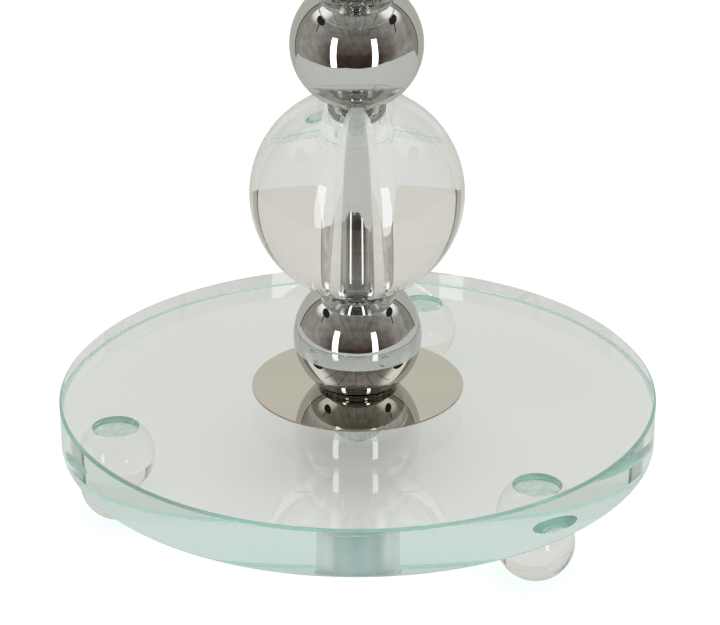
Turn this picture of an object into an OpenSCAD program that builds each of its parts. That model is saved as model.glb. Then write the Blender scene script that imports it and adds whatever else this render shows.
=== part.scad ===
// Three-tier cake stand. A thick glass base plate stands on three crystal ball feet, and two more glass
// plates are carried above it by columns of chrome and crystal balls. Washers, sleeves and plates are
// threaded on a two-piece tie rod, which a nut under the base and a screw-on finial pull tight.
// Millimetres. +Z is up, and the origin is on the supporting surface, under the middle of the base plate.

/* [Base plate] */
// Diameter of the base plate
base_plate_d = 228; // [215:1:260]
// Thickness of the base plate
base_plate_t = 19; // [12:0.5:25]
// Diameter of the ground hole through the base plate
base_hole_d = 20; // [16:0.5:24]
// Width of the flat ground along the top and bottom edges of every plate
arris_w = 1; // [0.5:0.1:2]

/* [Feet] */
// Diameter of a foot ball
foot_ball_d = 29; // [27:0.5:36]
// Diameter of the flat ground on top of a foot ball, which is glued to the plate
foot_flat_d = 18; // [14:0.5:20]
// Diameter of the small flat ground under a foot ball, which it stands on
foot_rest_d = 5; // [3:0.5:8]
// Radius of the circle that the feet stand on
foot_circle_r = 93.8; // [80:0.1:96]
// Direction of the front right foot, counted from +X
foot_first_angle = -46.6; // [-60:0.1:-30]
// Thickness of the adhesive film on a foot
foot_film_t = 0.13; // [0.1:0.01:0.2]

/* [Upper plates] */
// Diameter of the middle plate
middle_plate_d = 204; // [180:1:215]
// Thickness of the middle plate
middle_plate_t = 10; // [8:0.5:12]
// Diameter of the top plate
top_plate_d = 160; // [130:1:175]
// Thickness of the top plate
top_plate_t = 8; // [6:0.5:10]
// Diameter of the hole through the two upper plates
plate_hole_d = 16; // [14:0.5:18]

/* [Balls] */
// Diameter of the two chrome balls in the lower column
lower_chrome_d = 48.8; // [46:0.2:52]
// Diameter of the large crystal ball in the lower column
lower_crystal_1_d = 80; // [70:1:90]
// Diameter of the small crystal ball in the lower column
lower_crystal_2_d = 64; // [54:1:70]
// Diameter of the two chrome balls in the upper column
upper_chrome_d = 40; // [38:0.5:44]
// Diameter of the large crystal ball in the upper column
upper_crystal_1_d = 60; // [50:1:66]
// Diameter of the small crystal ball in the upper column
upper_crystal_2_d = 48; // [44:1:54]
// Height of a chrome ball's flat above its centre, as a share of its radius
chrome_flat_share = 0.78; // [0.74:0.01:0.8]
// Wall thickness of a chrome ball
chrome_wall_t = 1.2; // [0.8:0.1:1.6]
// Bore of the largest crystal ball
large_bore_d = 20; // [16:0.5:22]
// Bore of the other crystal balls
small_bore_d = 16; // [14:0.5:18]
// Width of the ring ground flat around each end of a crystal ball's bore
seat_w = 1.2; // [0.8:0.1:2]

/* [Cover discs and rings] */
// Diameter of the polished disc on the base plate
base_disc_d = 81; // [60:1:100]
// Diameter of the polished discs on both sides of the middle plate
middle_disc_d = 66; // [54:1:80]
// Diameter of the polished discs on both sides of the top plate
top_disc_d = 50; // [44:1:60]
// Thickness of the polished discs
disc_t = 0.6; // [0.4:0.1:1]
// Diameter of the neck rings and seat rings
ring_d = 23; // [20:0.5:26]
// Height of a neck ring, under a chrome ball
neck_h = 1.3; // [1:0.1:3]
// Height of a seat ring, under a plate
seat_h = 2; // [1.4:0.1:3]

/* [Rod and fasteners] */
// Diameter of the tie rod
rod_d = 9.8; // [9:0.1:10]
// Outer diameter of the sleeves that line the crystal balls
tube_d = 12; // [11.6:0.1:13]
// Bore of everything that the rod passes through loosely
clearance_d = 10.4; // [10.2:0.1:10.6]
// Bore of the pieces that are screwed to the rod
thread_bore_d = 9.92; // [9.9:0.02:9.98]
// Size across the flats of the base nut
nut_flats = 17; // [16:0.5:19]
// Height of the base nut
nut_h = 8; // [6:0.5:9]
// Length of rod that shows below the base nut
rod_stub = 3; // [2:0.5:3]
// Diameter of the coupler that joins the two rods
coupler_d = 14; // [13:0.5:15]
// Length of the coupler
coupler_len = 24; // [18:1:26]

/* [Finial] */
// Diameter of the finial's chrome ball
finial_chrome_d = 30; // [28:0.5:34]
// Diameter of the finial's crystal ball
finial_crystal_d = 44; // [38:1:50]
// Diameter of the flat ground under the finial's crystal ball
finial_flat_d = 18.6; // [16:0.2:19]
// Outer diameter of the finial's threaded insert
insert_d = 15; // [14:0.5:16]
// Gap between the finial and the washer that it turns on
finial_gap = 0.2; // [0.1:0.05:0.3]
// Length of rod inside the finial
finial_grip = 14; // [10:0.5:16]

/* [Washers] */
// Thickness of the clear washers between balls
ball_washer_t = 0.4; // [0.3:0.05:0.6]
// Thickness of the silicone gaskets on the glass plates
gasket_t = 0.8; // [0.5:0.1:1.5]
// Diameter of the gaskets on the upper plates
gasket_d = 40; // [32:1:46]
// Diameter of the steel washer under the base
steel_washer_d = 36; // [30:1:40]
// Thickness of the steel washer under the base
steel_washer_t = 2; // [1.5:0.1:2.5]
// Thickness of the split lock washer under the base
lock_washer_t = 2.2; // [1.8:0.1:2.6]
// Thickness of the washer that the finial turns on
finial_washer_t = 0.6; // [0.4:0.1:1]

/* [Hidden] */
$fn = 96;

// Half the height of a ball of diameter d whose flat has the diameter flat_d
function half_height(d, flat_d) = sqrt(d * d - flat_d * flat_d) / 2;
// Half the height of a chrome ball and of a crystal ball
function chrome_half(d) = chrome_flat_share * d / 2;
function crystal_half(d, bore_d) = half_height(d, bore_d + 2 * seat_w);

foot_centre_z = half_height(foot_ball_d, foot_rest_d);
foot_top = foot_centre_z + half_height(foot_ball_d, foot_flat_d);
lower_chrome_h = 2 * chrome_half(lower_chrome_d);
upper_chrome_h = 2 * chrome_half(upper_chrome_d);
lower_crystal_1_h = 2 * crystal_half(lower_crystal_1_d, large_bore_d);
lower_crystal_2_h = 2 * crystal_half(lower_crystal_2_d, small_bore_d);
upper_crystal_1_h = 2 * crystal_half(upper_crystal_1_d, small_bore_d);
upper_crystal_2_h = 2 * crystal_half(upper_crystal_2_d, small_bore_d);
finial_chrome_h = 2 * chrome_half(finial_chrome_d);

// The stack, from the surface up: each value is the height of a piece's lower face
z_base_plate = foot_top + foot_film_t;
z_base_disc = z_base_plate + base_plate_t;
z_base_neck = z_base_disc + disc_t;
z_lower_chrome_1 = z_base_neck + neck_h;
z_lower_crystal_1 = z_lower_chrome_1 + lower_chrome_h + ball_washer_t;
z_lower_chrome_2 = z_lower_crystal_1 + lower_crystal_1_h + ball_washer_t;
z_lower_crystal_2 = z_lower_chrome_2 + lower_chrome_h + ball_washer_t;
z_middle_seat = z_lower_crystal_2 + lower_crystal_2_h + ball_washer_t;
z_middle_under = z_middle_seat + seat_h;
z_middle_plate = z_middle_under + disc_t + gasket_t;
z_middle_cover = z_middle_plate + middle_plate_t + gasket_t;
z_middle_neck = z_middle_cover + disc_t;
z_upper_chrome_1 = z_middle_neck + neck_h;
z_upper_crystal_1 = z_upper_chrome_1 + upper_chrome_h + ball_washer_t;
z_upper_chrome_2 = z_upper_crystal_1 + upper_crystal_1_h + ball_washer_t;
z_upper_crystal_2 = z_upper_chrome_2 + upper_chrome_h + ball_washer_t;
z_top_seat = z_upper_crystal_2 + upper_crystal_2_h + ball_washer_t;
z_top_under = z_top_seat + seat_h;
z_top_plate = z_top_under + disc_t + gasket_t;
z_top_cover = z_top_plate + top_plate_t + gasket_t;
z_finial_washer = z_top_cover + disc_t;
z_finial = z_finial_washer + finial_washer_t + finial_gap;
z_finial_crystal = z_finial + finial_chrome_h + foot_film_t;

// The fasteners, from the underside of the base plate down
z_steel_washer = z_base_plate - gasket_t - steel_washer_t;
z_lock_washer = z_steel_washer - lock_washer_t;
z_nut = z_lock_washer - nut_h;
z_rod_bottom = z_nut - rod_stub;
// The two rods meet at the middle of the hollow chrome ball above the middle plate
z_rod_joint = z_upper_chrome_1 + upper_chrome_h / 2;
z_rod_top = z_finial + finial_grip;
bush_clearance = 0.2;

// A flat ring standing on z = 0
module ring(outer_d, inner_d, h) {
    difference() {
        cylinder(h = h, d = outer_d);
        translate([0, 0, -1]) cylinder(h = h + 2, d = inner_d);
    }
}

// A round glass plate with ground edges and a plain hole, standing on z = 0
module glass_plate(d, t, hole_d) {
    rotate_extrude($fn = 180)
        polygon([[hole_d / 2, 0], [d / 2 - arris_w, 0], [d / 2, arris_w],
                 [d / 2, t - arris_w], [d / 2 - arris_w, t], [hole_d / 2, t]]);
}

// A ball with a flat at each end, standing on z = 0
module flat_ended_ball(d, half_h) {
    translate([0, 0, half_h]) intersection() {
        sphere(d = d);
        cylinder(h = 2 * half_h, d = d + 2, center = true);
    }
}

// A hollow chrome ball with a hole in each flat end
module chrome_ball(d, bottom_hole_d, top_hole_d) {
    half_h = chrome_half(d);
    color("silver") difference() {
        flat_ended_ball(d, half_h);
        translate([0, 0, chrome_wall_t]) flat_ended_ball(d - 2 * chrome_wall_t, half_h - chrome_wall_t);
        translate([0, 0, -1]) cylinder(h = half_h, d = bottom_hole_d);
        translate([0, 0, half_h]) cylinder(h = half_h + 1, d = top_hole_d);
    }
}

// A solid crystal ball with a through bore and a ring ground flat at each end
module crystal_ball(d, bore_d) {
    half_h = crystal_half(d, bore_d);
    color("white", 0.35) difference() {
        flat_ended_ball(d, half_h);
        translate([0, 0, -1]) cylinder(h = 2 * half_h + 2, d = bore_d);
    }
}

// A foot: a crystal ball cut flat on top, where it is glued, and just flat enough below to stand on
module foot(index) {
    color("white", 0.35) rotate([0, 0, foot_first_angle + 120 * index])
        translate([foot_circle_r, 0, 0]) intersection() {
            translate([0, 0, foot_centre_z]) sphere(d = foot_ball_d);
            cylinder(h = foot_top, d = foot_ball_d + 2);
        }
}

// The chrome sleeve that lines a crystal ball, from one neighbour's flat to the next
module liner_tube(crystal_h) {
    color("silver") ring(tube_d, clearance_d, crystal_h + 2 * ball_washer_t);
}

// A clear washer between two balls, centred in a crystal ball's seat
module ball_washer(bore_d) {
    ring(bore_d + 4 * seat_w, tube_d + 0.6, ball_washer_t);
}

// The two silicone gaskets of an upper plate
module plate_gaskets(plate_t) {
    color("whitesmoke") {
        ring(gasket_d, clearance_d, gasket_t);
        translate([0, 0, plate_t + gasket_t]) ring(gasket_d, clearance_d, gasket_t);
    }
}

module base_plate() {
    color("paleturquoise", 0.4) translate([0, 0, z_base_plate])
        glass_plate(base_plate_d, base_plate_t, base_hole_d);
}

module foot_adhesive() {
    color("white", 0.3) for (index = [0:2])
        rotate([0, 0, foot_first_angle + 120 * index]) translate([foot_circle_r, 0, foot_top])
            cylinder(h = foot_film_t, d = foot_flat_d);
}

module base_bush() {
    color("whitesmoke") translate([0, 0, z_base_plate])
        ring(base_hole_d - 2 * bush_clearance, clearance_d, base_plate_t);
}

module base_gasket() {
    color("whitesmoke") translate([0, 0, z_base_plate - gasket_t]) ring(gasket_d, clearance_d, gasket_t);
}

module base_washer() {
    color("gainsboro") translate([0, 0, z_steel_washer])
        ring(steel_washer_d, clearance_d, steel_washer_t);
}

module base_lock_washer() {
    slot_w = 1.6;
    color("gainsboro") translate([0, 0, z_lock_washer]) difference() {
        ring(nut_flats, clearance_d, lock_washer_t);
        translate([0, -slot_w / 2, -1]) cube([nut_flats, slot_w, lock_washer_t + 2]);
    }
}

module base_nut() {
    color("gainsboro") translate([0, 0, z_nut]) difference() {
        intersection() {
            cylinder(h = nut_h, d = 2 * nut_flats / sqrt(3), $fn = 6);
            cylinder(h = nut_h, d = 2 * nut_flats / sqrt(3) - 0.9);
        }
        translate([0, 0, -1]) cylinder(h = nut_h + 2, d = thread_bore_d);
    }
}

module lower_rod() {
    color("gainsboro") translate([0, 0, z_rod_bottom]) cylinder(h = z_rod_joint - z_rod_bottom, d = rod_d);
}

module upper_rod() {
    color("gainsboro") translate([0, 0, z_rod_joint]) cylinder(h = z_rod_top - z_rod_joint, d = rod_d);
}

module rod_coupler() {
    color("goldenrod") translate([0, 0, z_rod_joint - coupler_len / 2])
        ring(coupler_d, thread_bore_d, coupler_len);
}

module base_cover_disc() {
    color("silver") translate([0, 0, z_base_disc]) ring(base_disc_d, clearance_d, disc_t);
}

module base_neck_ring() {
    color("silver") translate([0, 0, z_base_neck]) ring(ring_d, clearance_d, neck_h);
}

module lower_chrome_ball_1() {
    translate([0, 0, z_lower_chrome_1]) chrome_ball(lower_chrome_d, clearance_d, clearance_d);
}

module lower_crystal_ball_1() {
    translate([0, 0, z_lower_crystal_1]) crystal_ball(lower_crystal_1_d, large_bore_d);
}

module lower_tube_1() {
    translate([0, 0, z_lower_crystal_1 - ball_washer_t]) liner_tube(lower_crystal_1_h);
}

module lower_chrome_ball_2() {
    translate([0, 0, z_lower_chrome_2]) chrome_ball(lower_chrome_d, clearance_d, clearance_d);
}

module lower_crystal_ball_2() {
    translate([0, 0, z_lower_crystal_2]) crystal_ball(lower_crystal_2_d, small_bore_d);
}

module lower_tube_2() {
    translate([0, 0, z_lower_crystal_2 - ball_washer_t]) liner_tube(lower_crystal_2_h);
}

module lower_ball_washers() {
    color("white", 0.4) {
        translate([0, 0, z_lower_crystal_1 - ball_washer_t]) ball_washer(large_bore_d);
        translate([0, 0, z_lower_chrome_2 - ball_washer_t]) ball_washer(large_bore_d);
        translate([0, 0, z_lower_crystal_2 - ball_washer_t]) ball_washer(small_bore_d);
        translate([0, 0, z_middle_seat - ball_washer_t]) ball_washer(small_bore_d);
    }
}

module middle_seat_ring() {
    color("silver") translate([0, 0, z_middle_seat]) ring(ring_d, clearance_d, seat_h);
}

module middle_under_disc() {
    color("silver") translate([0, 0, z_middle_under]) ring(middle_disc_d, clearance_d, disc_t);
}

module middle_gaskets() {
    translate([0, 0, z_middle_plate - gasket_t]) plate_gaskets(middle_plate_t);
}

module middle_plate() {
    color("paleturquoise", 0.4) translate([0, 0, z_middle_plate])
        glass_plate(middle_plate_d, middle_plate_t, plate_hole_d);
}

module middle_bush() {
    color("whitesmoke") translate([0, 0, z_middle_plate])
        ring(plate_hole_d - 2 * bush_clearance, clearance_d, middle_plate_t);
}

module middle_cover_disc() {
    color("silver") translate([0, 0, z_middle_cover]) ring(middle_disc_d, clearance_d, disc_t);
}

module middle_neck_ring() {
    color("silver") translate([0, 0, z_middle_neck]) ring(ring_d, clearance_d, neck_h);
}

module upper_chrome_ball_1() {
    translate([0, 0, z_upper_chrome_1]) chrome_ball(upper_chrome_d, clearance_d, clearance_d);
}

module upper_crystal_ball_1() {
    translate([0, 0, z_upper_crystal_1]) crystal_ball(upper_crystal_1_d, small_bore_d);
}

module upper_tube_1() {
    translate([0, 0, z_upper_crystal_1 - ball_washer_t]) liner_tube(upper_crystal_1_h);
}

module upper_chrome_ball_2() {
    translate([0, 0, z_upper_chrome_2]) chrome_ball(upper_chrome_d, clearance_d, clearance_d);
}

module upper_crystal_ball_2() {
    translate([0, 0, z_upper_crystal_2]) crystal_ball(upper_crystal_2_d, small_bore_d);
}

module upper_tube_2() {
    translate([0, 0, z_upper_crystal_2 - ball_washer_t]) liner_tube(upper_crystal_2_h);
}

module upper_ball_washers() {
    color("white", 0.4) for (z = [z_upper_crystal_1, z_upper_chrome_2, z_upper_crystal_2, z_top_seat])
        translate([0, 0, z - ball_washer_t]) ball_washer(small_bore_d);
}

module top_seat_ring() {
    color("silver") translate([0, 0, z_top_seat]) ring(ring_d, clearance_d, seat_h);
}

module top_under_disc() {
    color("silver") translate([0, 0, z_top_under]) ring(top_disc_d, clearance_d, disc_t);
}

module top_gaskets() {
    translate([0, 0, z_top_plate - gasket_t]) plate_gaskets(top_plate_t);
}

module top_plate() {
    color("paleturquoise", 0.4) translate([0, 0, z_top_plate])
        glass_plate(top_plate_d, top_plate_t, plate_hole_d);
}

module top_bush() {
    color("whitesmoke") translate([0, 0, z_top_plate])
        ring(plate_hole_d - 2 * bush_clearance, clearance_d, top_plate_t);
}

module top_cover_disc() {
    color("silver") translate([0, 0, z_top_cover]) ring(top_disc_d, clearance_d, disc_t);
}

module finial_washer() {
    color("whitesmoke") translate([0, 0, z_finial_washer]) ring(ring_d, clearance_d, finial_washer_t);
}

module finial_chrome_ball() {
    translate([0, 0, z_finial]) chrome_ball(finial_chrome_d, insert_d, 3);
}

// The insert fills the chrome ball from its lower flat to the inside of its upper one
module finial_insert() {
    insert_h = finial_chrome_h - chrome_wall_t;
    color("goldenrod") translate([0, 0, z_finial]) difference() {
        cylinder(h = insert_h, d = insert_d);
        translate([0, 0, -1]) cylinder(h = finial_grip + 3, d = thread_bore_d);
    }
}

module finial_adhesive() {
    color("white", 0.3) translate([0, 0, z_finial + finial_chrome_h])
        cylinder(h = foot_film_t, d = finial_flat_d);
}

module finial_crystal_ball() {
    half_h = half_height(finial_crystal_d, finial_flat_d);
    color("white", 0.35) translate([0, 0, z_finial_crystal + half_h]) intersection() {
        sphere(d = finial_crystal_d);
        translate([0, 0, -half_h]) cylinder(h = finial_crystal_d, d = finial_crystal_d + 2);
    }
}

base_plate();
foot(0);  // foot_front_right
foot(1);  // foot_rear
foot(2);  // foot_left
foot_adhesive();
base_bush();
base_gasket();
base_washer();
base_lock_washer();
base_nut();
lower_rod();
rod_coupler();
upper_rod();
base_cover_disc();
base_neck_ring();
lower_chrome_ball_1();
lower_crystal_ball_1();
lower_tube_1();
lower_chrome_ball_2();
lower_crystal_ball_2();
lower_tube_2();
lower_ball_washers();
middle_seat_ring();
middle_under_disc();
middle_gaskets();
middle_plate();
middle_bush();
middle_cover_disc();
middle_neck_ring();
upper_chrome_ball_1();
upper_crystal_ball_1();
upper_tube_1();
upper_chrome_ball_2();
upper_crystal_ball_2();
upper_tube_2();
upper_ball_washers();
top_seat_ring();
top_under_disc();
top_gaskets();
top_plate();
top_bush();
top_cover_disc();
finial_washer();
finial_chrome_ball();
finial_insert();
finial_adhesive();
finial_crystal_ball();
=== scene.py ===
import math

import bmesh
import bpy
from mathutils import Matrix, Vector, noise


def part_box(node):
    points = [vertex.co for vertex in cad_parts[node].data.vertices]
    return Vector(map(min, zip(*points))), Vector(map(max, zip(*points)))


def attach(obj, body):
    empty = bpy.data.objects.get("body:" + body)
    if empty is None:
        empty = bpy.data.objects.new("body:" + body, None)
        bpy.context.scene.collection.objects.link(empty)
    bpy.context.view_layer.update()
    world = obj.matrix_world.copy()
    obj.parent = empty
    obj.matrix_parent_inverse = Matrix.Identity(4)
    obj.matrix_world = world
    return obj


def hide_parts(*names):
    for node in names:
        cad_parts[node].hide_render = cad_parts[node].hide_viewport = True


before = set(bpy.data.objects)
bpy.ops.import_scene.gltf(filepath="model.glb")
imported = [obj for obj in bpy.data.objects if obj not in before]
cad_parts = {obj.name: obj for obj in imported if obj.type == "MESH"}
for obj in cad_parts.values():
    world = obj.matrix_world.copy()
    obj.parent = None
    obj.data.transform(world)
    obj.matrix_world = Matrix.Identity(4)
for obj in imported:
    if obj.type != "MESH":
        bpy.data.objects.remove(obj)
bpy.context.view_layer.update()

MM = 0.001
TURN = 2 * math.pi

# Sizes that a node's box doesn't give, in metres. They repeat the ones in part.scad.
ARRIS = 1.0 * MM
BASE_HOLE_R = 10 * MM
PLATE_HOLE_R = 8 * MM
CLEARANCE_R = 5.2 * MM
THREAD_BORE_R = 4.96 * MM
LARGE_BORE_R = 10 * MM
SMALL_BORE_R = 8 * MM
SEAT_W = 1.2 * MM
CHROME_WALL = 1.2 * MM
FOOT_R = 14.5 * MM
FOOT_TOP_R = 9 * MM
FOOT_REST_R = 2.5 * MM
INSERT_R = 7.5 * MM
FINIAL_CRYSTAL_R = 22 * MM
WASHER_HOLE_R = 6.3 * MM
NUT_FLATS = 17 * MM

# Detail that only the visual pieces have
HOLE_LIP = 0.4 * MM
FILM_R = FOOT_TOP_R - 0.3 * MM
FILM_GAP = 0.02 * MM
THREAD_LENGTH = 18 * MM

# Air left under what only lies against glass, so that the glass keeps its inner reflection there
AIR = 0.03 * MM

# Places in a plate's list of materials
PLAIN, DRILLED, SEAMED, BONDED = range(4)


# ---------------------------------------------------------------- mesh helpers

def low(node):
    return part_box(node)[0].z


def high(node):
    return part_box(node)[1].z


def outer_radius(node):
    lowest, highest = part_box(node)
    return (highest.x - lowest.x) / 2


def arc(radius, centre_z, start, end, steps):
    """Points (r, z) on a circle about the axis point centre_z, from one height to another."""
    first = math.asin(max(-1, min(1, (start - centre_z) / radius)))
    last = math.asin(max(-1, min(1, (end - centre_z) / radius)))
    angles = [first + (last - first) * k / steps for k in range(steps + 1)]
    return [(radius * math.cos(angle), centre_z + radius * math.sin(angle)) for angle in angles]


def soften(section, size):
    """Rounds the corners of a closed section, except slight ones and those on the axis."""
    slightest, steps, share, beyond = 20, 3, 0.38, 1.25
    points = [(Vector(p[:2]), p[2] if len(p) > 2 else 0) for p in section]
    result = []
    for k, (here, band) in enumerate(points):
        before, band_before = points[k - 1]
        after = points[(k + 1) % len(points)][0]
        back, on = before - here, after - here
        skipped = here.x < 1e-7 or min(back.length, on.length) < 1e-9
        if skipped or math.degrees(math.pi - back.angle(on)) < slightest:
            result.append((here.x, here.y, band))
            continue
        reach = min(size, back.length * share, on.length * share)
        first, last = here + back.normalized() * reach, here + on.normalized() * reach
        # a support point on each side keeps the rounding out of the shading of the flats
        support = here + back.normalized() * reach * beyond
        result.append((support.x, support.y, band_before))
        for step in range(steps + 1):
            t = step / steps
            p = first * (1 - t) ** 2 + here * 2 * t * (1 - t) + last * t * t
            result.append((p.x, p.y, band if t > 0.5 else band_before))
        support = here + on.normalized() * reach * beyond
        result.append((support.x, support.y, band))
    return result


def add_ring(bm, r, z, segments, centre=(0, 0)):
    """Adds a round of vertices, or a single one on the axis."""
    if r < 1e-7:
        return [bm.verts.new((*centre, z))]
    angles = [TURN * k / segments for k in range(segments)]
    return [bm.verts.new((centre[0] + r * math.cos(a), centre[1] + r * math.sin(a), z)) for a in angles]


def add_lathe(bm, section, segments=192, centre=(0, 0)):
    """Adds a closed solid of revolution. A point is (radius, z, material of the edge that starts there)."""
    rings = [add_ring(bm, point[0], point[1], segments, centre) for point in section]
    for i, a in enumerate(rings):
        b = rings[(i + 1) % len(rings)]
        if len(a) == 1 and len(b) == 1:
            continue
        band = section[i][2] if len(section[i]) > 2 else 0
        for k in range(segments):
            n = (k + 1) % segments
            if len(a) == 1:
                face = bm.faces.new((a[0], b[n], b[k]))
            elif len(b) == 1:
                face = bm.faces.new((a[k], a[n], b[0]))
            else:
                face = bm.faces.new((a[k], a[n], b[n], b[k]))
            face.material_index = band


def add_skin(bm, loops):
    """Joins closed loops of vertices, each to the next."""
    for a, b in zip(loops, loops[1:]):
        for i in range(len(a)):
            n = (i + 1) % len(a)
            bm.faces.new((a[i], a[n], b[n], b[i]))


def finished(name, bm, materials, sharp=32):
    """Turns a bmesh into a smooth-shaded object whose corners above sharp degrees stay crisp."""
    bmesh.ops.recalc_face_normals(bm, faces=bm.faces)
    mesh = bpy.data.meshes.new(name)
    bm.to_mesh(mesh)
    bm.free()
    mesh.shade_smooth()
    mesh.set_sharp_from_angle(angle=math.radians(sharp))
    for material in materials:
        mesh.materials.append(material)
    piece = bpy.data.objects.new(name, mesh)
    bpy.context.scene.collection.objects.link(piece)
    return piece


def stands_for(piece, body, slot, *nodes):
    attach(piece, body)
    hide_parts(*nodes)
    return piece


def lathed(name, section, materials, node, slot, body="stand", segments=192):
    bm = bmesh.new()
    add_lathe(bm, section, segments)
    return stands_for(finished(name, bm, materials), body, slot, node)


def ring_section(inner, outer, bottom, top, edge, wall=0):
    """The section of a flat ring with rounded edges. wall is the material of its outer wall."""
    return soften([(inner, bottom), (outer, bottom, wall), (outer, top), (inner, top)], edge)


def ring_piece(name, node, material, slot, edge):
    """A ring that the rod passes through."""
    section = ring_section(CLEARANCE_R, outer_radius(node), low(node), high(node), edge)
    return lathed(name, section, [material], node, slot)


# ---------------------------------------------------------------- materials

GLASS_IOR = 1.52
GLASS_TINT = (0.66, 0.93, 0.90)
GLASS_DENSITY = 2.6
BARELY_BENT = 1.001


class Graph:
    """The shader nodes of a material or of the world."""

    def __init__(self, tree):
        self.tree = tree

    def add(self, kind, **values):
        node = self.tree.nodes.new(kind)
        for key, value in values.items():
            setattr(node, key, value)
        return node

    def join(self, source, target):
        self.tree.links.new(source, target)
        return self

    def span(self, source, start, end, low_value=0.0, high_value=1.0, **values):
        """Maps the values between start and end to those between low_value and high_value."""
        node = self.add("ShaderNodeMapRange", **values)
        node.inputs["From Min"].default_value = start
        node.inputs["From Max"].default_value = end
        node.inputs["To Min"].default_value = low_value
        node.inputs["To Max"].default_value = high_value
        self.join(source, node.inputs["Value"])
        return node.outputs["Result"]

    def ramp(self, source, stops):
        """A colour for each value, from (position, colour) stops."""
        node = self.add("ShaderNodeValToRGB")
        elements = node.color_ramp.elements
        while len(elements) < len(stops):
            elements.new(0.5)
        for element, (position, colour) in zip(elements, stops):
            element.position = position
            element.color = (*colour, 1)
        self.join(source, node.inputs["Fac"])
        return node.outputs["Color"]


class Look(Graph):
    """A material under construction."""

    def __init__(self, name):
        self.material = bpy.data.materials.new(name)
        self.material.use_nodes = True
        super().__init__(self.material.node_tree)
        self.shader = self.tree.nodes["Principled BSDF"]
        self.output = self.tree.nodes["Material Output"]
        self.place = self.add("ShaderNodeTexCoord").outputs["Object"]

    def set(self, **values):
        for key, value in values.items():
            self.shader.inputs[key.replace("_", " ")].default_value = value
        return self

    def noise(self, scale, detail, stretch=(1, 1, 1)):
        mapping = self.add("ShaderNodeMapping")
        mapping.inputs["Scale"].default_value = stretch
        texture = self.add("ShaderNodeTexNoise")
        texture.inputs["Scale"].default_value = scale
        texture.inputs["Detail"].default_value = detail
        texture.inputs["Roughness"].default_value = 0.55
        self.join(self.place, mapping.inputs["Vector"])
        self.join(mapping.outputs["Vector"], texture.inputs["Vector"])
        return texture.outputs["Fac"]

    def mottle(self, source, dark, light, start=0.3, end=0.7):
        """Varies the base colour between two tones."""
        colour = self.ramp(source, [(start, dark), (end, light)])
        return self.join(colour, self.shader.inputs["Base Color"])

    def roughen(self, source, start, end, smoothest, roughest):
        """Varies the roughness: wear, wiping marks and grinding show in the gloss."""
        roughness = self.span(source, start, end, smoothest, roughest)
        return self.join(roughness, self.shader.inputs["Roughness"])

    def bump(self, source, strength, distance):
        node = self.add("ShaderNodeBump")
        node.inputs["Strength"].default_value = strength
        node.inputs["Distance"].default_value = distance
        self.join(source, node.inputs["Height"])
        return self.join(node.outputs["Normal"], self.shader.inputs["Normal"])

    def light_through(self, colour):
        """Lets lamps and soft light through a clear material, so that its shadow is pale."""
        path = self.add("ShaderNodeLightPath")
        either = self.add("ShaderNodeMath", operation="MAXIMUM")
        self.join(path.outputs["Is Shadow Ray"], either.inputs[0])
        self.join(path.outputs["Is Diffuse Ray"], either.inputs[1])
        clear = self.add("ShaderNodeBsdfTransparent")
        clear.inputs["Color"].default_value = (*colour, 1)
        mix = self.add("ShaderNodeMixShader")
        self.join(either.outputs["Value"], mix.inputs["Fac"])
        self.join(self.shader.outputs["BSDF"], mix.inputs[1])
        self.join(clear.outputs["BSDF"], mix.inputs[2])
        return self.join(mix.outputs["Shader"], self.output.inputs["Surface"])

    def tinted(self):
        """Gives the inside the pale green of common glass, which deepens with thickness."""
        volume = self.add("ShaderNodeVolumeAbsorption")
        volume.inputs["Color"].default_value = (*GLASS_TINT, 1)
        volume.inputs["Density"].default_value = GLASS_DENSITY
        return self.join(volume.outputs["Volume"], self.output.inputs["Volume"])


def clear_look(name, smear, shadow):
    """Polished clear glass: a trace of wiping marks in the gloss, and a surface that isn't quite flat."""
    look = Look(name).set(Base_Color=(1, 1, 1, 1), Transmission_Weight=1.0, IOR=GLASS_IOR)
    look.roughen(look.noise(38, 5), 0.45, 0.78, 0.0, smear)
    look.bump(look.noise(16, 2), 0.12, 0.00005)
    return look.light_through(shadow)


def make_float_glass():
    return clear_look("float_glass", 0.02, (0.985, 0.99, 0.987)).tinted().material


def make_ground_glass():
    """The wall of a drilled hole, left as the core drill cut it."""
    look = Look("ground_glass").set(Base_Color=(0.93, 0.97, 0.96, 1), Transmission_Weight=0.6, IOR=GLASS_IOR)
    rings = look.noise(60, 6, (1, 1, 9))
    look.roughen(rings, 0.35, 0.7, 0.28, 0.5)
    look.bump(rings, 0.5, 0.0002)
    return look.light_through((0.9, 0.92, 0.915)).tinted().material


def make_seamed_glass():
    """The arris along a plate's rims, ground with a belt and left fine but not polished."""
    look = Look("seamed_glass").set(Base_Color=(0.68, 0.91, 0.83, 1), Transmission_Weight=0.82, IOR=GLASS_IOR)
    look.roughen(look.noise(420, 5), 0.3, 0.7, 0.35, 0.55)
    look.bump(look.noise(700, 3), 0.2, 0.00005)
    return look.light_through((0.95, 0.97, 0.96)).tinted().material


def make_bonded_face(name):
    """Glass under adhesive: light goes straight on there instead of being turned back."""
    look = Look(name).set(Transmission_Weight=1.0, IOR=BARELY_BENT, Roughness=0.0)
    look.mottle(look.noise(260, 5), (0.95, 0.97, 0.96), (1.0, 1.0, 1.0), 0.35, 0.62)
    return look.light_through((1.0, 1.0, 1.0))


def make_crystal():
    return clear_look("crystal", 0.012, (0.985, 0.985, 0.98)).material


def make_chrome():
    look = Look("chrome").set(Metallic=1.0, Specular_Tint=(0.82, 0.82, 0.82, 1))
    look.mottle(look.noise(55, 3), (0.595, 0.608, 0.602), (0.630, 0.643, 0.637))
    look.roughen(look.noise(130, 6), 0.35, 0.75, 0.012, 0.045)
    look.bump(look.noise(45, 2), 0.1, 0.00004)
    return look.material


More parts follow.
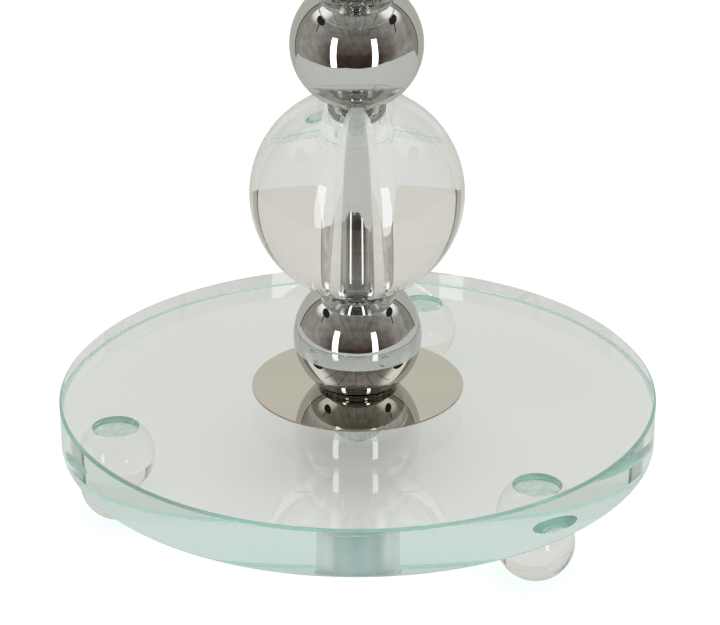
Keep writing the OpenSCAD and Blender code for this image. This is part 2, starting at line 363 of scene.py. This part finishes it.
def make_drawn_chrome():
    """Plated tube: the faint rings left by drawing draw its highlights out along it."""
    look = Look("drawn_chrome").set(Metallic=1.0)
    look.mottle(look.noise(55, 3), (0.63, 0.65, 0.64), (0.68, 0.70, 0.69))
    look.roughen(look.noise(130, 6), 0.35, 0.75, 0.02, 0.07)
    look.bump(look.noise(1400, 3, (0.03, 0.03, 1)), 0.15, 0.00005)
    return look.material


def make_polished_steel():
    """The thin discs: rolled sheet, buffed to a mirror, a little warmer than the chrome."""
    look = Look("polished_steel").set(Metallic=1.0)
    look.mottle(look.noise(30, 3), (0.70, 0.675, 0.62), (0.73, 0.705, 0.65))
    look.roughen(look.noise(160, 6), 0.35, 0.75, 0.015, 0.05)
    look.bump(look.noise(24, 2), 0.12, 0.00005)
    return look.material


def make_disc_edge():
    """The sheared rim of a disc, where the plating is thin over brass-coloured metal."""
    look = Look("disc_edge").set(Metallic=1.0)
    look.mottle(look.noise(400, 3), (0.30, 0.19, 0.12), (0.42, 0.29, 0.20))
    look.roughen(look.noise(500, 4), 0.3, 0.7, 0.2, 0.4)
    return look.material


def make_zinc():
    look = Look("zinc_steel").set(Metallic=1.0)
    look.mottle(look.noise(220, 5), (0.50, 0.51, 0.52), (0.66, 0.67, 0.67))
    look.roughen(look.noise(500, 5), 0.3, 0.7, 0.22, 0.42)
    look.bump(look.noise(700, 4), 0.25, 0.00005)
    return look.material


def make_brass():
    look = Look("brass").set(Metallic=1.0)
    look.mottle(look.noise(200, 5), (0.62, 0.43, 0.16), (0.76, 0.56, 0.25))
    look.roughen(look.noise(400, 5), 0.3, 0.7, 0.18, 0.35)
    look.bump(look.noise(600, 4), 0.2, 0.00005)
    return look.material


def make_silicone():
    look = Look("silicone").set(Transmission_Weight=0.75, IOR=1.41)
    look.mottle(look.noise(90, 4), (0.86, 0.87, 0.86), (0.93, 0.94, 0.93))
    look.roughen(look.noise(300, 4), 0.3, 0.7, 0.3, 0.5)
    look.bump(look.noise(500, 3), 0.2, 0.00005)
    return look.light_through((0.8, 0.8, 0.8)).material


def make_nylon():
    """Natural nylon, milky but not opaque."""
    look = Look("nylon").set(Transmission_Weight=0.85, IOR=1.53)
    look.mottle(look.noise(120, 4), (0.90, 0.92, 0.90), (0.96, 0.97, 0.96))
    look.roughen(look.noise(350, 4), 0.3, 0.7, 0.35, 0.5)
    look.bump(look.noise(500, 3), 0.2, 0.00005)
    return look.light_through((0.9, 0.9, 0.9)).material


def make_clear_washer():
    """Clear plastic with an olive tone."""
    look = Look("clear_washer").set(Transmission_Weight=0.8, IOR=1.49)
    look.mottle(look.noise(150, 4), (0.60, 0.60, 0.53), (0.68, 0.68, 0.61))
    look.roughen(look.noise(260, 5), 0.35, 0.75, 0.03, 0.1)
    look.bump(look.noise(300, 3), 0.15, 0.00003)
    return look.light_through((0.93, 0.93, 0.93)).material


def make_adhesive():
    """Cured clear adhesive with fine ripples and specks left in it. It hardly bends light."""
    look = Look("clear_adhesive").set(Transmission_Weight=0.95, IOR=1.04)
    look.mottle(look.noise(520, 6), (0.84, 0.85, 0.82), (0.98, 0.98, 0.97), 0.36, 0.60)
    look.roughen(look.noise(700, 5), 0.35, 0.7, 0.02, 0.2)
    look.bump(look.noise(650, 5), 0.5, 0.0002)
    return look.light_through((0.95, 0.95, 0.95)).material


FLOAT_GLASS = make_float_glass()
GROUND_GLASS = make_ground_glass()
SEAMED_GLASS = make_seamed_glass()
BONDED_GLASS = make_bonded_face("bonded_glass").tinted().material
BONDED_CRYSTAL = make_bonded_face("bonded_crystal").material
CRYSTAL = make_crystal()
CHROME = make_chrome()
DRAWN_CHROME = make_drawn_chrome()
POLISHED_STEEL = make_polished_steel()
DISC_EDGE = make_disc_edge()
ZINC = make_zinc()
BRASS = make_brass()
SILICONE = make_silicone()
NYLON = make_nylon()
CLEAR_WASHER = make_clear_washer()
CLEAR_ADHESIVE = make_adhesive()


# ---------------------------------------------------------------- glass and crystal

def glass_plate(name, node, hole_r, bonded=()):
    """A plate with a ground arris on both rims and a drilled hole with a small countersink.

    bonded lists the centres of the round places on its underside that something is glued to.
    """
    r, z0, z1 = outer_radius(node), low(node), high(node)
    section = [
        (hole_r, z1 - HOLE_LIP, DRILLED), (hole_r, z0 + HOLE_LIP, DRILLED), (hole_r + HOLE_LIP, z0, PLAIN),
        (r - ARRIS, z0, SEAMED), (r, z0 + ARRIS, PLAIN), (r, z1 - ARRIS, SEAMED), (r - ARRIS, z1, PLAIN),
        (hole_r + HOLE_LIP, z1, DRILLED),
    ]
    bm = bmesh.new()
    add_lathe(bm, soften(section, 0.12 * MM), 384)
    if bonded:
        bond_underside(bm, z0, bonded)
    piece = finished(name, bm, [FLOAT_GLASS, GROUND_GLASS, SEAMED_GLASS, BONDED_GLASS])
    return stands_for(piece, "stand", "float_glass", node)


def bond_underside(bm, z, centres):
    """Cuts round places for adhesive into the flat underside of a plate."""
    widest, segments = 20 * MM, 96

    def spans_underside(face):
        level = all(abs(vert.co.z - z) < 1e-7 for vert in face.verts)
        return level and max(edge.calc_length() for edge in face.edges) > widest

    bmesh.ops.delete(bm, geom=[face for face in bm.faces if spans_underside(face)], context="FACES")
    rims = [edge for edge in bm.edges if len(edge.link_faces) == 1]
    circles = []
    for centre in centres:
        ring = add_ring(bm, FILM_R, z, segments, centre)
        circles.append([bm.edges.new((ring[k - 1], ring[k])) for k in range(segments)])
    bmesh.ops.triangle_fill(bm, use_beauty=True, edges=rims + sum(circles, []), normal=(0, 0, -1))
    for circle in circles:
        filled = bmesh.ops.triangle_fill(bm, use_beauty=True, edges=circle, normal=(0, 0, -1))
        for item in filled["geom"]:
            if isinstance(item, bmesh.types.BMFace):
                item.material_index = BONDED


def crystal_ball(name, node, bore_r):
    r, z0, z1 = outer_radius(node), low(node), high(node)
    section = arc(r, (z0 + z1) / 2, z0, z1, 96) + [(bore_r, z1), (bore_r, z0)]
    return lathed(name, soften(section, 0.12 * MM), [CRYSTAL], node, "crystal", segments=256)


def foot(name, node):
    """A crystal ball with a small flat to stand on and a wide flat under the plate, its second material."""
    lowest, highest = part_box(node)
    centre = ((lowest.x + highest.x) / 2, (lowest.y + highest.y) / 2)
    middle = lowest.z + math.sqrt(FOOT_R ** 2 - FOOT_REST_R ** 2)
    outline = arc(FOOT_R, middle, lowest.z, highest.z, 96)
    section = [(0, lowest.z)] + outline[:-1] + [(*outline[-1], 1), (0, highest.z)]
    bm = bmesh.new()
    add_lathe(bm, soften(section, 0.1 * MM), 192, centre)
    stands_for(finished(name, bm, [CRYSTAL, BONDED_CRYSTAL]), "stand", "crystal", node)
    return centre


def adhesive_films(name, node, centres, foot_top):
    """The cured adhesive on each foot, a thin film whose edge isn't quite round."""
    bottom, top = foot_top + FILM_GAP, high(node) - FILM_GAP
    section = [(0, bottom), (FILM_R, bottom), (FILM_R, top), (0, top)]
    waver, waves, apart = 0.25 * MM, 1.6, 7.0
    bm = bmesh.new()
    for number, centre in enumerate(centres):
        start = len(bm.verts)
        add_lathe(bm, section, 96, centre)
        bm.verts.ensure_lookup_table()
        for vert in bm.verts[start:]:
            reach = Vector((vert.co.x - centre[0], vert.co.y - centre[1], 0))
            if reach.length > MM:
                out = reach.normalized()
                vert.co += out * noise.noise(out * waves + Vector((number * apart, 0, 0))) * waver
    return stands_for(finished(name, bm, [CLEAR_ADHESIVE]), "stand", "clear_adhesive", node)


# ---------------------------------------------------------------- metal and seals

def chrome_ball(name, node, hole_r, body="stand"):
    """A spun hollow ball: outside up, over the lip, and back down inside the shell."""
    r, z0, z1 = outer_radius(node), low(node), high(node)
    middle = (z0 + z1) / 2
    inner_low, inner_high = z0 + CHROME_WALL, z1 - CHROME_WALL
    section = arc(r, middle, z0, z1, 72) + [(hole_r, z1), (hole_r, inner_high)]
    section += arc(r - CHROME_WALL, middle, inner_high, inner_low, 32) + [(hole_r, inner_low), (hole_r, z0)]
    return lathed(name, soften(section, 0.35 * MM), [CHROME], node, "chrome", body)


def cover_disc(name, node):
    """A polished sheet disc. Its rim has a colour of its own."""
    bottom, top = low(node) + AIR, high(node) - AIR
    section = ring_section(CLEARANCE_R, outer_radius(node), bottom, top, 0.12 * MM, wall=1)
    return lathed(name, section, [POLISHED_STEEL, DISC_EDGE], node, "chrome", segments=256)


def ring_set(name, node, rings, material, slot, edge):
    """Several like rings that are one CAD node: (inner radius, outer radius, bottom, top) each."""
    bm = bmesh.new()
    for inner, outer, bottom, top in rings:
        add_lathe(bm, ring_section(inner, outer, bottom, top, edge))
    return stands_for(finished(name, bm, [material]), "stand", slot, node)


def hex_nut(name, node):
    """A hexagon nut: the chamfer cone cuts a curved edge into each of the six flats."""
    z0, z1 = low(node), high(node)
    flat_r, corner_r = NUT_FLATS / 2, outer_radius(node)
    face_r, slope, lip, segments = flat_r * 0.96, math.tan(math.radians(30)), 0.5 * MM, 144
    half_side = TURN / 12
    bm = bmesh.new()
    loops = []
    for k in range(segments):
        angle = TURN * k / segments
        hex_r = min(flat_r / math.cos((angle + half_side) % (2 * half_side) - half_side), corner_r)
        cut = (hex_r - face_r) * slope
        outline = [
            (THREAD_BORE_R, z0 + lip), (THREAD_BORE_R + lip, z0), (face_r, z0), (hex_r, z0 + cut),
            (hex_r, z1 - cut), (face_r, z1), (THREAD_BORE_R + lip, z1), (THREAD_BORE_R, z1 - lip),
        ]
        turn = angle + half_side
        loops.append([bm.verts.new((r * math.cos(turn), r * math.sin(turn), z)) for r, z in outline])
    add_skin(bm, loops + loops[:1])
    return stands_for(finished(name, bm, [ZINC], 25), "stand", "zinc_steel", node)


def lock_washer(name, node):
    """A split spring washer: a square wire bent round, with its two ends a little apart in height."""
    z0, z1, outer = low(node), high(node), outer_radius(node)
    gap, rise, segments = math.radians(9), 0.35 * MM, 120
    bm = bmesh.new()
    loops = []
    for k in range(segments + 1):
        share = k / segments
        angle, lift = gap + (TURN - 2 * gap) * share, rise * share
        bottom, top = z0 + lift, z1 - rise + lift
        square = ring_section(CLEARANCE_R, outer, bottom, top, 0.2 * MM)
        loops.append([bm.verts.new((p[0] * math.cos(angle), p[0] * math.sin(angle), p[1])) for p in square])
    add_skin(bm, loops)
    bm.faces.new(loops[0])
    bm.faces.new(list(reversed(loops[-1])))
    return stands_for(finished(name, bm, [ZINC]), "stand", "zinc_steel", node)


def threaded_rod(name, node):
    """The tie rod: a rolled thread at its lower end, plain above."""
    z0, z1, r = low(node), high(node), outer_radius(node)
    pitch, depth, per_turn, segments = 1.5 * MM, 0.75 * MM, 14, 56
    lead_in, chamfer, steepness = 0.9 * MM, 0.6 * MM, 1.1
    count = round(THREAD_LENGTH / pitch * per_turn)
    heights = [z0 + THREAD_LENGTH * k / count for k in range(count + 1)] + [z1 - chamfer, z1]
    bm = bmesh.new()
    rings = []
    for z in heights:
        fade = min(1, max(0, (z0 + THREAD_LENGTH - z) / pitch))
        taper = max(0, lead_in - (z - z0)) + (chamfer if z == z1 else 0)
        ring = []
        for k in range(segments):
            phase = ((z - z0) / pitch - k / segments) % 1
            groove = depth * fade * (1 - abs(2 * phase - 1)) ** steepness
            here, angle = r - max(groove, taper), TURN * k / segments
            ring.append(bm.verts.new((here * math.cos(angle), here * math.sin(angle), z)))
        rings.append(ring)
    add_skin(bm, rings)
    bm.faces.new(list(reversed(rings[0])))
    bm.faces.new(rings[-1])
    return stands_for(finished(name, bm, [ZINC], 60), "stand", "zinc_steel", node)


def keep(node, material):
    """A CAD node that stays as it is, with a better material."""
    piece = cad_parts[node]
    piece.data.materials.clear()
    piece.data.materials.append(material)


# ---------------------------------------------------------------- the stand

def make_plates_and_feet():
    sides = ("foot_front_right", "foot_rear", "foot_left")
    centres = [foot(f"crystal_{side}", side) for side in sides]
    adhesive_films("adhesive_films", "foot_adhesive", centres, high(sides[0]))
    glass_plate("glass_base_plate", "base_plate", BASE_HOLE_R, centres)
    for tier in ("middle", "top"):
        glass_plate(f"glass_{tier}_plate", f"{tier}_plate", PLATE_HOLE_R)


def make_rod_and_fixings():
    """The tie rod's two lengths and their coupler, a bush in each plate, and the fixings under the base."""
    for tier in ("base", "middle", "top"):
        ring_piece(f"nylon_{tier}_bush", f"{tier}_bush", NYLON, "nylon", 0.4 * MM)
    gasket = "base_gasket"
    section = ring_section(CLEARANCE_R, outer_radius(gasket), low(gasket), high(gasket) - AIR, 0.25 * MM)
    lathed("silicone_base_gasket", section, [SILICONE], gasket, "silicone")
    ring_piece("steel_base_washer", "base_washer", ZINC, "zinc_steel", 0.3 * MM)
    lock_washer("split_lock_washer", "base_lock_washer")
    hex_nut("hex_base_nut", "base_nut")
    threaded_rod("threaded_lower_rod", "lower_rod")
    keep("upper_rod", ZINC)
    keep("rod_coupler", BRASS)


def make_discs_and_rings():
    for place in ("base_cover", "middle_under", "middle_cover", "top_under", "top_cover"):
        cover_disc(f"polished_{place}_disc", f"{place}_disc")
    for place in ("base_neck", "middle_seat", "middle_neck", "top_seat"):
        ring_piece(f"turned_{place}_ring", f"{place}_ring", CHROME, "chrome", 0.35 * MM)


def make_column(tier, bores):
    """One column of four balls: two of chrome, two of crystal with a tube and two washers in each bore."""
    washers = []
    for number, bore_r in enumerate(bores, 1):
        kinds = ("chrome_ball", "crystal_ball", "tube")
        chrome, crystal, tube = (f"{tier}_{kind}_{number}" for kind in kinds)
        chrome_ball(f"spun_{chrome}", chrome, CLEARANCE_R)
        crystal_ball(f"cut_{crystal}", crystal, bore_r)
        ring_piece(f"drawn_{tube}", tube, DRAWN_CHROME, "chrome", 0.1 * MM)
        rim_r = bore_r + 2 * SEAT_W
        washers.append((WASHER_HOLE_R, rim_r, low(tube), low(crystal)))
        washers.append((WASHER_HOLE_R, rim_r, high(crystal), high(tube)))
    node = f"{tier}_ball_washers"
    ring_set(f"clear_{tier}_washers", node, washers, CLEAR_WASHER, "clear_washer", 0.08 * MM)


def make_gaskets(tier):
    """The two gaskets that a plate lies between."""
    node, plate = f"{tier}_gaskets", f"{tier}_plate"
    outer = outer_radius(node)
    rings = [
        (CLEARANCE_R, outer, low(node), low(plate) - AIR),
        (CLEARANCE_R, outer, high(plate) + AIR, high(node)),
    ]
    ring_set(f"silicone_{node}", node, rings, SILICONE, "silicone", 0.2 * MM)


def make_finial():
    """The chrome ball that screws onto the rod, with a crystal ball bonded on top."""
    ring_piece("turned_finial_washer", "finial_washer", CHROME, "chrome", 0.15 * MM)
    chrome_ball("spun_finial_ball", "finial_chrome_ball", INSERT_R, "finial")
    keep("finial_insert", BRASS)

    film = "finial_adhesive"
    r, z0, z1 = outer_radius(film), low(film), high(film)
    section = soften([(0, z0), (r, z0), (r, z1), (0, z1)], 0.04 * MM)
    lathed("finial_film", section, [CLEAR_ADHESIVE], film, "clear_adhesive", "finial", 96)

    ball = "finial_crystal_ball"
    z0, z1 = low(ball), high(ball)
    outline = arc(FINIAL_CRYSTAL_R, z1 - FINIAL_CRYSTAL_R, z0, z1, 96)
    section = soften([(0, z0)] + outline[:-1] + [(0, z1)], 0.12 * MM)
    lathed("cut_finial_ball", section, [CRYSTAL], ball, "crystal", "finial")


make_plates_and_feet()
make_rod_and_fixings()
make_discs_and_rings()
make_column("lower", (LARGE_BORE_R, SMALL_BORE_R))
make_column("upper", (SMALL_BORE_R, SMALL_BORE_R))
make_gaskets("middle")
make_gaskets("top")
make_finial()


# ---------------------------------------------------------------- camera

def make_camera():
    """In front of the stand, 0.93 m from its base plate, looking 24 degrees down."""
    data = bpy.data.cameras.new("camera")
    data.lens = 120.45
    data.sensor_width = 36
    data.clip_start, data.clip_end = 0.05, 60
    camera = bpy.data.objects.new("camera", data)
    bpy.context.scene.collection.objects.link(camera)
    bpy.context.scene.camera = camera
    pitch, yaw, roll = math.radians(24.323), math.radians(0.066), -0.00254
    ahead = Vector((math.sin(yaw) * math.cos(pitch), math.cos(yaw) * math.cos(pitch), -math.sin(pitch)))
    right = Vector((math.cos(yaw), -math.sin(yaw), 0))
    up = right.cross(ahead)
    across = math.cos(roll) * right + math.sin(roll) * up
    above = -math.sin(roll) * right + math.cos(roll) * up
    turn = Matrix((across, above, -ahead)).transposed().to_4x4()
    back, rise = 0.83206, 0.40617
    camera.matrix_world = Matrix.Translation(Vector((0, -back, high("base_plate") + rise))) @ turn


make_camera()


# ---------------------------------------------------------------- stage and light

ONE_FACE = [(0, 1, 2, 3)]
REFLECTION_ONLY = dict(camera=False, diffuse=False)
SEE_THROUGH_ONLY = dict(camera=False, diffuse=False, glossy=False)
BACKDROP_COLOUR = (0.66, 0.645, 0.585)
FRAME_COLOUR = (0.05, 0.05, 0.045)
WING_COLOUR = (0.36, 0.355, 0.30)


def staged(name, corners, faces, material, **sight):
    """A piece of the studio. sight says which kinds of ray don't see it."""
    mesh = bpy.data.meshes.new(name)
    mesh.from_pydata(corners, [], faces)
    mesh.materials.append(material)
    item = bpy.data.objects.new(name, mesh)
    bpy.context.scene.collection.objects.link(item)
    item.visible_shadow = False
    for key, value in sight.items():
        setattr(item, "visible_" + key, value)


def paper_look(name, colour):
    look = Look(name).set(Base_Color=(*colour, 1), Roughness=0.9, Specular_IOR_Level=0.1)
    return look.bump(look.noise(180, 4), 0.05, 0.0003).material


def glow_look(name, colour):
    """A studio surface that is seen at its own brightness and lights nothing directly."""
    material = bpy.data.materials.new(name)
    material.use_nodes = True
    graph = Graph(material.node_tree)
    nodes = material.node_tree.nodes
    nodes.remove(nodes["Principled BSDF"])
    glow = graph.add("ShaderNodeEmission")
    glow.inputs["Color"].default_value = (*colour, 1)
    graph.join(glow.outputs["Emission"], nodes["Material Output"].inputs["Surface"])
    material.cycles.emission_sampling = "NONE"
    return material


def make_floor():
    """The pale floor, and the same floor as glass and chrome see it: a table top that ends in front, its
    paper darker than the floor's as painted shade.
    """
    z, span = -0.05 * MM, 30
    corners = [(-span, -span, z), (span, -span, z), (span, span, z), (-span, span, z)]
    staged("floor", corners, ONE_FACE, paper_look("floor_paper", (0.90, 0.90, 0.895)),
           glossy=False, transmission=False)
    outline = [
        (-0.53, 0.30), (-0.53, 0.02), (-0.44, -0.17), (-0.13, -0.41),
        (0.46, -0.40), (0.74, -0.15), (0.82, 0.10), (0.68, 0.30),
    ]
    # painted shade: the table paper is darker than the floor paper, so the floor looks dimmer in reflections
    # and through glass
    staged("table", [(x, y, z) for x, y in outline], [tuple(range(len(outline)))],
           paper_look("shaded_table_paper", (0.63, 0.632, 0.608)), **REFLECTION_ONLY)


def make_backdrop():
    """A sheet that sweeps up behind the table, in a frame. Only reflections and clear pieces show it."""
    path = [
        (0.28, -0.001), (0.36, 0.06), (0.46, 0.18), (0.58, 0.38),
        (0.68, 0.65), (0.76, 1.0), (0.82, 1.5), (0.85, 2.2),
    ]
    faces = [(2 * k, 2 * k + 1, 2 * k + 3, 2 * k + 2) for k in range(len(path) - 1)]

    def strip(name, start, end, colour):
        """A part of the sheet between two bearings, given as x over y."""
        corners = [(y * bearing, y, z) for y, z in path for bearing in (start, end)]
        staged(name, corners, faces, glow_look(name + "_look", colour), **REFLECTION_ONLY)

    strip("backdrop", -1.34, 1.40, BACKDROP_COLOUR)
    strip("backdrop_left_frame", -1.46, -1.34, FRAME_COLOUR)
    strip("backdrop_right_frame", 1.40, 1.52, FRAME_COLOUR)
    strip("left_wing", -2.3, -1.46, WING_COLOUR)
    strip("right_wing", 1.52, 2.4, WING_COLOUR)


def around(azimuth, distance, z):
    """A place at an azimuth counted from the camera's side, positive towards +X."""
    a = math.radians(azimuth)
    return Vector((distance * math.sin(a), -distance * math.cos(a), z))


def ribbon(start, end, half_width):
    """Corners of a flat ribbon from start to end that faces the object."""
    along = (end - start).normalized()
    across = along.cross(start.normalized()).normalized() * half_width
    return [start - across, start + across, end + across, end - across]


def oval(centre, half_width, half_height, count):
    """Corners of an upright oval that faces the object."""
    out = centre.normalized()
    across = out.cross(Vector((0, 0, 1))).normalized()
    upright = across.cross(out)
    angles = [TURN * k / count for k in range(count)]
    return [centre + across * half_width * math.cos(a) + upright * half_height * math.sin(a) for a in angles]


def make_room():
    """What the chrome shows besides the windows: ceiling seams and two lamp heads on their stands."""
    dark = glow_look("room_dark", (0.03, 0.028, 0.026))
    ceiling, seam_front, seam_back, seam_half_width = 2.6, -4.5, 0.3, 0.02
    for x in (-1.7, -0.9, -0.1, 0.7, 1.5):
        seam = ribbon(Vector((x, seam_front, ceiling)), Vector((x, seam_back, ceiling)), seam_half_width)
        staged(f"seam_{round(x * 10)}", seam, ONE_FACE, dark, **REFLECTION_ONLY)
    head_half_width, head_half_height, head_corners, stand_half_width = 0.30, 0.15, 20, 0.028
    for side, head_azimuth, foot_azimuth in (("left", -85, -80), ("right", 88, 77)):
        head = around(head_azimuth, 1.30, 1.09)
        stand = ribbon(head, around(foot_azimuth, 1.45, 0.70), stand_half_width)
        staged(f"{side}_lamp_head", oval(head, head_half_width, head_half_height, head_corners),
               [tuple(range(head_corners))], dark, **REFLECTION_ONLY)
        staged(f"{side}_lamp_stand", stand, ONE_FACE, dark, **REFLECTION_ONLY)


def area_light(name, place, target, size, power, **sight):
    """A soft lamp that points at target. sight says which kinds of ray don't see it."""
    data = bpy.data.lights.new(name, "AREA")
    data.shape = "RECTANGLE"
    data.size, data.size_y = size
    data.energy = power
    lamp = bpy.data.objects.new(name, data)
    bpy.context.scene.collection.objects.link(lamp)
    lamp.location = place
    lamp.rotation_mode = "QUATERNION"
    lamp.rotation_quaternion = (target - place).to_track_quat("-Z", "Y")
    lamp.visible_camera = False
    for key, value in sight.items():
        setattr(lamp, "visible_" + key, value)


def make_window(name, azimuth, width, power):
    """A tall soft window. Clear pieces show a dimmer pane in its place, so that their insides don't glare."""
    height, distance, middle = 1.90, 2.2, 0.14
    place, target = around(azimuth, distance, middle), Vector((0, 0, middle))
    area_light(name, place, target, (width, height), power, transmission=False)
    across = (target - place).cross(Vector((0, 0, 1))).normalized() * width / 2
    up = Vector((0, 0, height / 2))
    pane = [place - across - up, place + across - up, place + across + up, place - across + up]
    staged(name + "_pane", pane, ONE_FACE, glow_look(name + "_look", (1.7, 1.7, 1.68)), **SEE_THROUGH_ONLY)


def make_lights():
    """Two tall soft windows in front, and a wide soft light overhead that mirrors don't show."""
    make_window("left_window", -39.5, 0.40, 11.0)
    make_window("right_window", 31.0, 0.37, 10.0)
    area_light("overhead", Vector((0.1, -0.2, 1.9)), Vector((0, 0, 0)), (2.6, 2.6), 28,
               glossy=False, transmission=False)


class Surroundings(Graph):
    """The world's nodes. Directions are unit vectors from the object."""

    def __init__(self):
        world = bpy.data.worlds.new("studio")
        bpy.context.scene.world = world
        world.use_nodes = True
        world.cycles.sampling_method = "NONE"
        world.node_tree.nodes.clear()
        super().__init__(world.node_tree)
        self.direction = self.add("ShaderNodeTexCoord").outputs["Generated"]

    def mapped(self, operation, first, second, result="Vector"):
        """A vector operation. second is a socket or a plain value."""
        node = self.add("ShaderNodeVectorMath", operation=operation)
        other = node.inputs["Scale" if operation == "SCALE" else 1]
        self.join(first, node.inputs[0])
        if isinstance(second, tuple):
            other.default_value = second
        else:
            self.join(second, other)
        return node.outputs[result]

    def room(self):
        """A dim room with a grey ceiling, brighter away from the camera's side, all of it blotched."""
        parts = self.add("ShaderNodeSeparateXYZ")
        self.join(self.direction, parts.inputs["Vector"])
        heights = self.ramp(self.span(parts.outputs["Z"], -1, 1), [
            (0.0, (0.025, 0.022, 0.020)), (0.46, (0.06, 0.044, 0.036)), (0.50, (0.12, 0.086, 0.066)),
            (0.60, (0.15, 0.138, 0.12)), (0.72, (0.21, 0.195, 0.168)), (1.0, (0.25, 0.235, 0.21)),
        ])
        walls = self.add("ShaderNodeMix", data_type="RGBA")
        walls.inputs["B"].default_value = (0.40, 0.375, 0.335, 1)
        away = self.span(parts.outputs["Y"], -0.85, -0.05, interpolation_type="SMOOTHSTEP")
        self.join(away, walls.inputs["Factor"])
        self.join(heights, walls.inputs["A"])
        blotch = self.add("ShaderNodeTexNoise")
        blotch.inputs["Scale"].default_value = 5.0
        blotch.inputs["Detail"].default_value = 3.0
        self.join(self.direction, blotch.inputs["Vector"])
        brightness = self.span(blotch.outputs["Fac"], 0.3, 0.7, 0.75, 1.25)
        return self.mapped("SCALE", walls.outputs["Result"], brightness)

    def lit_room(self):
        """The room with the pool of light that each lamp head throws on the ceiling."""
        room = self.room()
        for across in (-0.646, 0.646):
            nearness = self.mapped("DOT_PRODUCT", self.direction, (across, 0.173, 0.743), "Value")
            pool = self.span(nearness, 0.90, 0.99, interpolation_type="SMOOTHSTEP")
            room = self.mapped("ADD", room, pool)
        return room

    def background(self, colour):
        """A background of one colour, or of what a socket gives."""
        node = self.add("ShaderNodeBackground")
        if isinstance(colour, tuple):
            node.inputs["Color"].default_value = (*colour, 1)
        else:
            self.join(colour, node.inputs["Color"])
        return node.outputs["Background"]

    def choose(self, factor, off, on):
        node = self.add("ShaderNodeMixShader")
        self.join(factor, node.inputs["Fac"])
        self.join(off, node.inputs[1])
        self.join(on, node.inputs[2])
        return node.outputs["Shader"]


def make_world():
    """Pale to the camera and on the floor, the backdrop's colour through glass, the room in reflections."""
    world = Surroundings()
    path = world.add("ShaderNodeLightPath")
    mirrored = world.add("ShaderNodeMath", operation="GREATER_THAN")
    mirrored.inputs[1].default_value = 0.5
    world.join(path.outputs["Glossy Depth"], mirrored.inputs[0])
    seen_through, room = world.background(BACKDROP_COLOUR), world.background(world.lit_room())
    sharp = world.choose(mirrored.outputs["Value"], seen_through, room)
    lit = world.choose(path.outputs["Is Diffuse Ray"], sharp, world.background((0.80, 0.80, 0.80)))
    final = world.choose(path.outputs["Is Camera Ray"], lit, world.background((0.93, 0.93, 0.925)))
    world.join(final, world.add("ShaderNodeOutputWorld").inputs["Surface"])


make_floor()
make_backdrop()
make_room()
make_lights()
make_world()

scene = bpy.context.scene
scene.view_settings.view_transform = "Standard"
scene.cycles.max_bounces = 32
scene.cycles.transmission_bounces = 32
scene.cycles.glossy_bounces = 24
scene.cycles.transparent_max_bounces = 32
scene.cycles.caustics_reflective = False
scene.cycles.caustics_refractive = False
